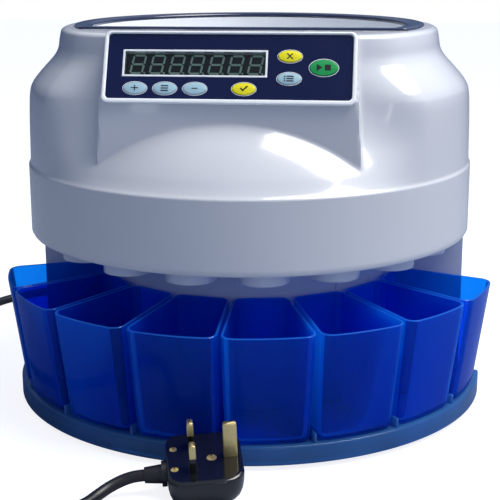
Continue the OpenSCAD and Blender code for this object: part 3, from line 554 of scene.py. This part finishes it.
# ---- casing ------------------------------------------------------------------
# Height and radius up the casing's front and up its sides and back.
FRONT_LINE = [(118, 152), (164, 152), (166, 150.2), (176, 143.7), (185, 137), (192.5, 130.6),
              (199, 124.4), (205, 118.6), (230, 117.5), (260, 116)]
SIDE_LINE = [(118, 152), (164, 152), (166, 150.8), (190, 150.3), (208, 149.6), (215, 148.6),
             (219, 146.8), (223, 143.8), (229, 138.4), (234, 133.7), (238, 130.7), (242, 129),
             (248, 128), (253, 126.8), (256, 125), (260, 125)]
MOUTH_R = 109.0
MOUTH_Y = 48.0         # the straight front of the mouth, from the axis
MOUTH_CORNER = 63.9    # degrees from the front to the mouth's corners
RIM_W = 9.0
RIM_FRONT = 52.0
TOP_EDGE = 2.6         # rounding of the casing's top edge
CONSOLE_LEAN = 0.4885  # how far the panel runs back for each millimetre it rises
CONSOLE_HALF = 81.4    # half width of the console at the height CONSOLE_FOOT
CONSOLE_FOOT = 170
CONSOLE_TAPER = 6.0 / 90
CONSOLE_END = 85       # degrees from the front beyond which there is no console
SIDE_FROM, SIDE_OVER = 30, 24    # degrees over which the front line turns into the side line
SHOULDER_Z = 178       # above this the forms beside the console run softly into each other


def line_at(line, z):
    """Height to radius along an outline, rounded at its points."""
    if z <= line[0][0]:
        return line[0][1]
    for k in range(len(line) - 1):
        (z0, r0), (z1, r1) = line[k], line[k + 1]
        if z <= z1:
            here = (r1 - r0) / (z1 - z0)
            before = here if k == 0 else (r0 - line[k - 1][1]) / (z0 - line[k - 1][0])
            after = here if k + 2 == len(line) else (line[k + 2][1] - r1) / (line[k + 2][0] - z1)
            m0 = 0.0 if before * here <= 0 else 2 * before * here / (before + here)
            m1 = 0.0 if after * here <= 0 else 2 * after * here / (after + here)
            t, w = (z - z0) / (z1 - z0), z1 - z0
            return ((2 * t ** 3 - 3 * t * t + 1) * r0 + (t ** 3 - 2 * t * t + t) * w * m0
                    + (3 * t * t - 2 * t ** 3) * r1 + (t ** 3 - t * t) * w * m1)
    return line[-1][1]


def larger(a, b, k):
    """The larger of two numbers, blended over the width k where they cross."""
    h = max(k - abs(a - b), 0.0) / k
    return max(a, b) + h * h * k / 4


def smaller(a, b, k):
    return -larger(-a, -b, k)


def casing_radius(angle, z):
    """Outer surface of the top casing: a lathe form, with the console growing out in front."""
    turned = abs(angle)
    side = smooth_step((turned - SIDE_FROM) / SIDE_OVER)
    front_r = line_at(FRONT_LINE, z)
    # Beside the console the front line loses its bends.
    blur = smooth_step((turned - 32) / 6) * smooth_step((z - SHOULDER_Z) / 14)
    if blur > 0 and side < 1:
        spread = range(-15, 16, 3)
        blurred = sum(line_at(FRONT_LINE, z + d) for d in spread) / len(spread)
        front_r += blur * (blurred - front_r)
    lathe = (1 - side) * front_r + side * line_at(SIDE_LINE, z)
    if turned > CONSOLE_END:
        return lathe
    face = (-CONSOLE_Y - CONSOLE_LEAN * max(0.0, z - PANEL_Z)) / cos(angle)
    half = CONSOLE_HALF - CONSOLE_TAPER * (z - CONSOLE_FOOT)
    flank = half / max(abs(sin(angle)), 0.001)
    console = smaller(face, flank, 1.6)
    if z > PANEL_Z - 14:
        lathe = smaller(lathe, face, 1.0)
    # The join is tight in front and soft where the dome meets the console's flanks.
    join = 0.9 + 7 * smooth_step((turned - 35) / 8) * smooth_step((z - SHOULDER_Z) / 24)
    return larger(lathe, console, join)


def mouth_radius(angle, radius=MOUTH_R, front=MOUTH_Y):
    """A circle with a straight front edge."""
    if abs(angle) >= 89:
        return radius
    return smaller(radius, front / cos(angle), 1.5)


# Angles of the casing's columns of points: close together in front, wide apart behind.
columns = [k * 0.5 for k in range(-120, 121)] + [60 + 2.5 * k for k in range(1, 96)]
columns = [a if a <= 180 else a - 360 for a in columns]
SKIRT_LEVELS = (119.5, 122, 130, 140, 150, 158, 161, 162.5, 163.5, 164.2, 165, 165.8, 167, 169)
INNER_LEVELS = (252, 246, 240, 231, 223, 216, 208, 200, 192, 184, 176, 168, 160, 140, 119)


def inner_radius(angle, z):
    """Inner surface of the top casing. Just under the top it keeps outside the mouth."""
    radius = casing_radius(angle, z + 1.0) - WALL
    return max(radius, mouth_radius(angle) + 0.5) if z == INNER_LEVELS[0] else radius


def casing_rings():
    """Rings of radius and height: up the outside, over the top and down the inside."""
    rings = [[(casing_radius(a, SKIRT_Z + 0.5) - 0.8, SKIRT_Z) for a in columns]]
    for z in SKIRT_LEVELS + tuple(range(170, 253)):
        rings.append([(casing_radius(a, z), z) for a in columns])
    for k in range(7):
        turn = 90 * k / 6
        z = TOP_Z - TOP_EDGE + TOP_EDGE * sin(turn)
        rings.append([(casing_radius(a, z) - TOP_EDGE * (1 - cos(turn)), z) for a in columns])
    for share in (0.3, 0.6, 1.0):
        rings.append([((1 - share) * (casing_radius(a, TOP_Z) - TOP_EDGE)
                       + share * (mouth_radius(a) + 0.3), TOP_Z) for a in columns])
    rings.append([(mouth_radius(a), TOP_Z - 0.3) for a in columns])
    rings.append([(mouth_radius(a), TOP_Z - WALL) for a in columns])
    for z in INNER_LEVELS:
        level = SKIRT_Z if z == INNER_LEVELS[-1] else z
        rings.append([(inner_radius(a, z), level) for a in columns])
    return rings


shape = Shape()
shape.loft([[(r * sin(a), -r * cos(a), z) for a, (r, z) in zip(columns, ring)]
            for ring in casing_rings()], closed=True)
casing = shape.make("casing", "machine", [HOUSING], replaces=["upper_housing"],
                    matrix=ON_AXIS, sharp=50)


def cut_away(obj, rings, matrix):
    """Cuts a prism, given as its two end rings, out of a piece."""
    form = Shape()
    form.loft(rings)
    mesh = bpy.data.meshes.new("cutter")
    mesh.from_pydata(to_frame(form.points, matrix), [], form.faces)
    face_outwards(mesh)
    cutter = bpy.data.objects.new("cutter", mesh)
    scene.collection.objects.link(cutter)
    modifier = obj.modifiers.new("cut", "BOOLEAN")
    modifier.operation = "DIFFERENCE"
    modifier.solver = "EXACT"
    modifier.object = cutter
    bpy.context.view_layer.update()
    cut = bpy.data.meshes.new_from_object(obj.evaluated_get(bpy.context.evaluated_depsgraph_get()))
    cut.set_sharp_from_angle(angle=math.radians(50))
    obj.modifiers.clear()
    obj.data = cut
    bpy.data.objects.remove(cutter)


# The opening behind the panel.
window = box_outline(PANEL_W - 8, PANEL_H - 3.6, 0.5, (0, PANEL_MID), 1)
cut_away(casing, [flat(window, -14), flat(window, 12)], ON_PANEL)

# ---- hopper rim --------------------------------------------------------------
# Distance in from the rim's outer side, and height.
rim_profile = [(0.0, 255.0), (0.0, 255.8), (0.5, 256.3), (1.3, 256.5), (9.5, 256.5), (11.2, 256.1),
               (12.0, 255.2), (12.0, 253.9), (11.6, 253.5), (9.6, 253.5), (9.3, 253.8), (9.3, 255.0)]
near_corner = [MOUTH_CORNER + 0.5 * k for k in range(-6, 7)]
rim_columns = sorted(set([a * 2.0 for a in range(-90, 91)] + near_corner
                         + [-a for a in near_corner]))[:-1]


def rim_point(angle, by, z):
    r = mouth_radius(angle, MOUTH_R + RIM_W - by, RIM_FRONT - by * 7 / 12)
    return (r * sin(angle), -r * cos(angle), z)


shape = Shape()
shape.loft([[rim_point(a, by, z) for a in rim_columns] for by, z in rim_profile], closed=True)
shape.make("rim", "machine", [RIM], replaces=["hopper_rim"], matrix=ON_AXIS, sharp=50)

# ---- coin bins and tray ------------------------------------------------------
CORNER_STEPS = 8
# Where a bin's outline has points between two corners: close to each corner, then even.
SIDE_SHARES = (0.02, 0.1, 0.5, 0.9, 0.98)
OUTER_SHARES = (0.02, 0.08, 0.2, 0.35, 0.5, 0.65, 0.8, 0.92, 0.98)


def bin_corners(inner, outer, gap):
    """The wedge between two radii, kept back by gap from the middle line to the next bin."""
    half = BIN_STEP / 2
    wide, narrow = outer * sin(half) - gap, inner * sin(half) - gap
    return [(-wide, -math.sqrt(outer ** 2 - wide ** 2)), (wide, -math.sqrt(outer ** 2 - wide ** 2)),
            (narrow, -inner), (-narrow, -inner)]


def bin_ring(inner, outer, gap, corner, by):
    """Outline of a bin at one height: four rounded corners and a curved outer side."""
    outer -= by
    corners = bin_corners(inner + by, outer, gap + by)
    base = rounded_outline(corners, max(corner - by * 0.6, 1.0), CORNER_STEPS)
    size = CORNER_STEPS + 1
    chord = corners[0][1]
    out = []
    for i in range(4):
        arc = base[i * size:(i + 1) * size]
        if i < 2:
            # The outer corners swell a little, to run into the curved outer side.
            shares = [k / CORNER_STEPS if i == 0 else 1 - k / CORNER_STEPS for k in range(size)]
            arc = [(x, y - share * (math.sqrt(outer ** 2 - x * x) + chord))
                   for (x, y), share in zip(arc, shares)]
        out += arc
        end, start = Vector(arc[-1]), Vector(base[((i + 1) % 4) * size])
        for share in (OUTER_SHARES if i == 0 else SIDE_SHARES):
            p = end.lerp(start, share)
            out.append((p.x, -math.sqrt(outer ** 2 - p.x ** 2)) if i == 0 else tuple(p))
    return out


BASE_R = 161.0
BIN_FOOT = 4.0         # rounding of a bin's foot
BIN_HEAD_Z = 100.0     # height above the rim where a bin's upright lines are given
RIM_SLOPE = 4.5
LIP_IN = 0.45          # the rim's lip: distance in from each skin, and height over them
LIP_TALL = 0.5
LEAN = (BINS_R - BASE_R) / (BIN_RIM_Z - TRAY_Z - BIN_FOOT)


def bin_rings(by, floor_z, top_drop):
    """Rings from the floor of a bin to its sloping rim, for the outer or the inner skin."""
    foot = bin_ring(inner=103.8, outer=BASE_R, gap=1.9, corner=5, by=by)
    head = bin_ring(inner=102.3, outer=BINS_R + (BIN_HEAD_Z - BIN_RIM_Z) * LEAN, gap=0.9, corner=6,
                    by=by)
    floor = bin_ring(inner=105.5, outer=BASE_R - 4, gap=4.6, corner=4, by=by)
    rings = []
    for k in range(5):
        a = 90 * k / 4
        rings.append([(f[0] + (g[0] - f[0]) * sin(a), f[1] + (g[1] - f[1]) * sin(a),
                       floor_z + BIN_FOOT * (1 - cos(a))) for f, g in zip(floor, foot)])
    tilt = math.tan(math.radians(RIM_SLOPE))
    low = TRAY_Z + BIN_FOOT
    start = floor_z + BIN_FOOT
    for k in range(1, 9):
        ring = []
        for f, g in zip(foot, head):
            # Height where this upright line meets the rim plane, less the drop.
            slope = (g[1] - f[1]) / (BIN_HEAD_Z - low)
            z = (BIN_RIM_Z - top_drop + (f[1] - slope * low + BINS_R) * tilt) / (1 - slope * tilt)
            at = start + (z - start) * k / 8
            share = (at - low) / (BIN_HEAD_Z - low)
            ring.append((f[0] + (g[0] - f[0]) * share, f[1] + (g[1] - f[1]) * share, at))
        rings.append(ring)
    return rings


outer_skin = bin_rings(0.0, TRAY_Z, LIP_TALL)
inner_skin = bin_rings(BIN_WALL, TRAY_Z + BIN_WALL, LIP_TALL)
lip_out = bin_rings(LIP_IN, TRAY_Z, 0.0)[-1]
lip_in = bin_rings(BIN_WALL - LIP_IN, TRAY_Z + BIN_WALL, 0.0)[-1]
shape = Shape()
shape.loft(outer_skin + [lip_out, lip_in] + inner_skin[::-1])
# The three bands of faces round the lip take a paler, less clear copy of the bin plastic: a painted
# highlight along the rim.
band = len(lip_out)
rim_highlight_from = (len(outer_skin) - 1) * band
shape.paints[rim_highlight_from:rim_highlight_from + 3 * band] = [1] * (3 * band)
for index in range(BIN_COUNT):
    turn = Matrix.Rotation(math.radians((index - (BIN_COUNT - 1) / 2) * BIN_STEP), 4, "Z")
    shape.make(f"coin_bin_{index + 1}", f"bin_{index + 1}", [BIN, BIN_RIM_HIGHLIGHT],
               replaces=[f"bin_{index + 1}"], matrix=ON_AXIS @ turn, sharp=38)

RIB_R = 155            # middle of the ribs between the bins
RIB_TOP = 21.5
RIB_W, RIB_L = 2.0, 13
# Radius and height round the section of the tray.
tray_profile = [(163.5, FEET_Z), (163.5, 13.9), (163.2, 14.9), (162.4, TRAY_Z), (102.6, TRAY_Z),
                (101.7, 15.1), (101.5, 14.4), (101.5, PAN_Z), (104.5, PAN_Z), (104.5, 12.5),
                (160.0, 12.5), (160.5, 12.0), (160.5, FEET_Z)]
tray_angles = [-87 + 1.5 * k for k in range(117)]
shape = Shape()
shape.loft([[(r * sin(a), -r * cos(a), z) for r, z in tray_profile] for a in tray_angles])
rib = prism_rings(box_outline(RIB_W, RIB_L, 0.9, (0, -RIB_R), 4), TRAY_Z - 1, RIB_TOP, 0.7)
for k in range(BIN_COUNT - 1):
    spin = Matrix.Rotation(math.radians((k - (BIN_COUNT - 2) / 2) * BIN_STEP), 4, "Z")
    shape.loft([[tuple(spin @ Vector(p)) for p in ring] for ring in rib])
shape.make("bin_tray", "machine", [TRAY], replaces=["tray"], matrix=ON_AXIS,
           sharp=40)

# ---- control panel -----------------------------------------------------------
BEZEL_AT = (-20.7, 23.1)
BEZEL_W, BEZEL_H = 88, 17.2
GLASS_W, GLASS_H = 85.4, 14.8
FRAME_SIDE = 2.5       # width of the panel's border at its sides
FRAME_EDGE = 1.8       # and at its upper and lower edges
FRAME_LIP = 1.2        # how much further it reaches at the lower edge


def frame_rings(outer, inner, low, high, edge):
    """Closed section of a raised border: outer wall, rounded top and inner wall."""
    rings = [flat(outer, low)]
    for k in range(5):
        a = 90 * k / 4
        rings.append(flat(inset(outer, edge * (1 - cos(a))), high - edge * (1 - sin(a))))
    for k in range(5):
        a = 90 * k / 4
        rings.append(flat(inset(inner, -edge * (1 - sin(a))), high - edge * (1 - cos(a))))
    rings.append(flat(inner, low))
    return rings


shape = Shape()
frame_outer = box_outline(PANEL_W + 2 * FRAME_SIDE, PANEL_H + 2 * FRAME_EDGE + FRAME_LIP, 4,
                          (0, PANEL_MID - FRAME_LIP / 2))
frame_inner = box_outline(PANEL_W + 0.2, PANEL_H + 0.2, 2.5, (0, PANEL_MID))
shape.loft(frame_rings(frame_outer, frame_inner, 0, 2, 0.8), closed=True)
shape.make("panel_border", "machine", [TRIM], replaces=["panel_frame"],
           matrix=ON_PANEL)
shape = Shape()
shape.loft(frame_rings(box_outline(BEZEL_W, BEZEL_H, 0.3, BEZEL_AT, 2),
                       box_outline(GLASS_W, GLASS_H, 0.3, BEZEL_AT, 2), -4, 1.0, 0.25), closed=True)
shape.make("window_border", "machine", [TRIM], replaces=["display_bezel"],
           matrix=ON_PANEL)

# Seven digits with points, unlit, on a dark block behind the window.
DIGIT_COUNT = 7
DIGIT_PITCH = 11.95
DIGIT_W, DIGIT_H = 7.2, 11.2
DIGIT_LEAN = 1.1       # how far half a digit leans over
DIGIT_ANGLE = 79
DIGIT_SHIFT = 0.6      # the digits stand a little right of and over the window's middle
BAR_W = 1.15
LEVEL_BAR, UPRIGHT_BAR = 6.5, 5.2
POINT_R = 0.6
BLOCK_W, BLOCK_H = 84.4, 14
BLOCK_BACK, BLOCK_FACE = -10.4, -3.4


def segment(centre, angle, length):
    """Outline of one bar of a digit, pointed at its ends."""
    spin = Matrix.Rotation(math.radians(angle), 2)
    half, side = length / 2, BAR_W / 2
    outline = [(-half, 0), (-half + side, -side), (half - side, -side), (half, 0),
               (half - side, side), (-half + side, side)]
    return [tuple(spin @ Vector(p) + Vector(centre)) for p in outline]


def digit_outlines(cx, cy):
    """The seven bars of a digit and its point."""
    out = [segment((cx + k * DIGIT_LEAN, cy + k * DIGIT_H / 2), 0, LEVEL_BAR)
           for k in (-1, 0, 1)]
    for x in (-1, 1):
        for y in (-1, 1):
            centre = (cx + x * DIGIT_W / 2 + y * DIGIT_LEAN / 2, cy + y * DIGIT_H / 4)
            out.append(segment(centre, DIGIT_ANGLE, UPRIGHT_BAR))
    point = (cx + DIGIT_W / 2 + 0.5, cy - DIGIT_H / 2 + 0.1)
    return out + [oval_outline(POINT_R, POINT_R, point, 16)]


shape = Shape()
shape.loft(prism_rings(box_outline(BLOCK_W, BLOCK_H, 0.4, BEZEL_AT, 2), BLOCK_BACK, BLOCK_FACE,
                       0.2))
for i in range(DIGIT_COUNT):
    middle = BEZEL_AT[0] + (i - (DIGIT_COUNT - 1) / 2) * DIGIT_PITCH
    for outline in digit_outlines(middle + DIGIT_SHIFT, BEZEL_AT[1] + DIGIT_SHIFT):
        shape.loft([flat(outline, BLOCK_FACE - 0.1), flat(outline, BLOCK_FACE + 0.3)], paint=1)
shape.make("digit_block", "machine", [FACE_BLACK, DIGIT], replaces=["display_digits"],
           matrix=ON_PANEL)


def bars(*items):
    """Outlines of straight bars: each item is x, y, angle, length and width."""
    out = []
    for x, y, angle, length, width in items:
        spin = Matrix.Rotation(math.radians(angle), 2)
        out.append([tuple(spin @ Vector((length / 2 * side, width / 2 * end)) + Vector((x, y)))
                    for side, end in ((-1, -1), (1, -1), (1, 1), (-1, 1))])
    return out


PLUS = bars((-1.2, 0, 0, 2.0, 0.6), (1.2, 0, 0, 2.0, 0.6), (0, 0, 90, 3.4, 0.6))
MINUS = bars((0, 0, 0, 3.6, 0.6))
THREE_BARS = bars(*((0, y, 0, 4.4, 0.7) for y in (1.5, 0, -1.5)))
TICK = [[(-2.3, 0.2), (-1.6, 0.8), (-0.5, -0.4), (2.0, 2.0), (2.6, 1.3), (-0.5, -1.7)]]
CROSS = bars((-0.9, 0.9, -45, 2.4, 0.7), (0.9, -0.9, -45, 2.4, 0.7), (0, 0, 45, 4.6, 0.7))
LIST = bars(*((x, y, 0, length, 0.7) for y in (1.3, -0.1, -1.5)
              for x, length in ((-2.6, 0.8), (0.6, 4.2))))
START_STOP = [[(-4.2, -2.2), (-0.6, 0), (-4.2, 2.2)]] + bars((2.4, 0, 0, 3.6, 3.6))
OVAL = (7.0, 3.7)
# Each key: its middle on the panel, half width and half height, plastic, slot and sign.
KEYS = {
    "key_plus": ((-56.2, 7.1), OVAL, KEY_BLUE, "key_blue", PLUS),
    "key_batch": ((-38, 7.1), OVAL, KEY_BLUE, "key_blue", THREE_BARS),
    "key_minus": ((-19.8, 7.1), OVAL, KEY_BLUE, "key_blue", MINUS),
    "key_set": ((9.7, 7.2), OVAL, KEY_YELLOW, "key_yellow", TICK),
    "key_clear": ((36.6, 27.9), OVAL, KEY_YELLOW, "key_yellow", CROSS),
    "key_report": ((36.5, 13.9), OVAL, KEY_BLUE, "key_blue", LIST),
    "key_start": ((56.9, 20.9), (8.4, 5.05), KEY_GREEN, "key_green", START_STOP),
}
# Heights over the panel: a key's stem, its flange under the film and its rim. Its middle swells
# a little more, and its sign stands just proud of that.
STEM_Z, FLANGE_LOW, FLANGE_TOP, KEY_RIM = -5.6, -2.0, -0.8, 1.45
KEY_SWELL = ((0.7, 1.58), (0.4, 1.66), (0.1, 1.7))
KEY_EDGE = 0.6
SIGN_LOW, SIGN_TOP = 1.3, 1.76
for key, (at, (a, b), plastic_of_key, slot, sign) in KEYS.items():
    shape = Shape()
    stem, flange = oval_outline(a - 3, b - 2, at), oval_outline(a + 0.7, b + 0.7, at)
    cap = oval_outline(a, b, at)
    rings = [flat(stem, STEM_Z), flat(stem, FLANGE_LOW), flat(flange, FLANGE_LOW),
             flat(flange, FLANGE_TOP), flat(cap, FLANGE_TOP)]
    rings += prism_rings(cap, FLANGE_TOP + 0.1, KEY_RIM, KEY_EDGE, steps=4)
    for share, z in KEY_SWELL:
        rings.append(flat(oval_outline((a - KEY_EDGE) * share, (b - KEY_EDGE) * share, at), z))
    shape.loft(rings)
    for outline in sign:
        moved = [(at[0] + x, at[1] + y) for x, y in outline]
        shape.loft([flat(moved, SIGN_LOW), flat(moved, SIGN_TOP)], paint=1)
    shape.make(f"{key}_cap", key, [plastic_of_key, INK], replaces=[key],
               matrix=ON_PANEL, sharp=40)

# White printed lines round the keys, on the film.
LINE_FROM, LINE_TO = 0.3, 0.65
LINE_LOW, LINE_TOP = 0.7, 0.86
shape = Shape()
for at, (a, b), *_ in KEYS.values():
    outer = oval_outline(a + LINE_TO, b + LINE_TO, at)
    inner = oval_outline(a + LINE_FROM, b + LINE_FROM, at)
    shape.loft([flat(outer, LINE_LOW), flat(outer, LINE_TOP), flat(inner, LINE_TOP),
                flat(inner, LINE_LOW)], closed=True)
shape.make("key_outlines", "machine", [TRIM], matrix=ON_PANEL)

# ---- plug --------------------------------------------------------------------
LEAD_END = Vector(ROUTE_TO_PLUG[-1])
PLUG_TILT, PLUG_TURN = 13.0, -78.0
AT_PLUG = (Matrix.Translation(LEAD_END) @ Matrix.Rotation(math.radians(PLUG_TILT), 4, "X")
           @ Matrix.Rotation(math.radians(PLUG_TURN), 4, "Z"))
GRIP_L = 13.0              # the soft grip between the lead and the plug's body
PLUG_W, PLUG_NARROW, PLUG_L = 50, 48.4, 44
BACK_Z = -9.0
FACE_Z = 9.5
PIN_LINE = GRIP_L + 15     # from the lead's end to the line of the two power pins
PIN_HALF = 11.1            # the two power pins stand 22.2 mm apart
PIN_ROOT = FACE_Z - 4      # where the pins start inside the plug
# Middle and head radius of the three screws in the face.
PLUG_SCREWS = ((-9.6, PIN_LINE - 10.5, 2.2), (9.6, PIN_LINE - 10.5, 2.2),
               (1, PIN_LINE + 11.2, 2.9))
# Middle, width, depth, length and length of the black sleeve of the pins.
PINS = ((-PIN_HALF, PIN_LINE, 6.4, 4, 17.7, 9.5), (PIN_HALF, PIN_LINE, 6.4, 4, 17.7, 9.5),
        (0, PIN_LINE + 2 * PIN_HALF, 4, 8, 22.7, 0))


def plug_outline(by):
    """The plug seen from its pins: square shoulders at the lead, rounder at the earth pin."""
    wide, narrow, end = PLUG_W / 2, PLUG_NARROW / 2, GRIP_L + PLUG_L
    corners = [(-wide, GRIP_L), (wide, GRIP_L), (narrow, end), (-narrow, end)]
    return inset(rounded_outline(corners, [9, 9, 12, 12], 12), by)


# Distance in from the outline, and height over the back.
profile = [(8.5, 0.0), (5.4, 0.4), (3.6, 1.4), (2.1, 3.4), (0.9, 6.8), (0.3, 10.5), (0.1, 14.0),
           (0.0, 16.2), (0.15, 17.1), (0.5, 17.8), (1.1, 18.3), (2.0, 18.5), (3.2, 18.5)]
shape = Shape()
shape.loft([flat(plug_outline(by), BACK_Z + z) for by, z in profile])
shell = shape.make("plug_shell", "machine", [BLACK], replaces=["plug_body"],
                   matrix=AT_PLUG, sharp=60)
for x, y, radius in PLUG_SCREWS:
    well = oval_outline(radius + 0.15, radius + 0.15, (x, y), 32)
    cut_away(shell, [flat(well, FACE_Z - 3), flat(well, FACE_Z + 2)], AT_PLUG)

shape = Shape()
for x, y, w, d, tall, sleeve in PINS:
    core = box_outline(w, d, 0.5, (x, y), 3)
    low, top = PIN_ROOT, FACE_Z + tall
    if sleeve:
        cuff = inset(core, -0.02)
        shape.loft([flat(cuff, PIN_ROOT), flat(cuff, FACE_Z + sleeve - 0.3),
                    flat(inset(core, 0.25), FACE_Z + sleeve)], paint=1)
        low = FACE_Z + sleeve - 0.5
        core = inset(core, 0.12)
    shape.loft([flat(core, low), flat(core, top - 1.6), flat(inset(core, 0.35), top - 0.7),
                flat(inset(core, 0.9), top - 0.15), flat(inset(core, 1.4), top)])
shape.make("plug_prongs", "machine", [BRASS, BLACK], replaces=["plug_pins"],
           matrix=AT_PLUG, sharp=40)
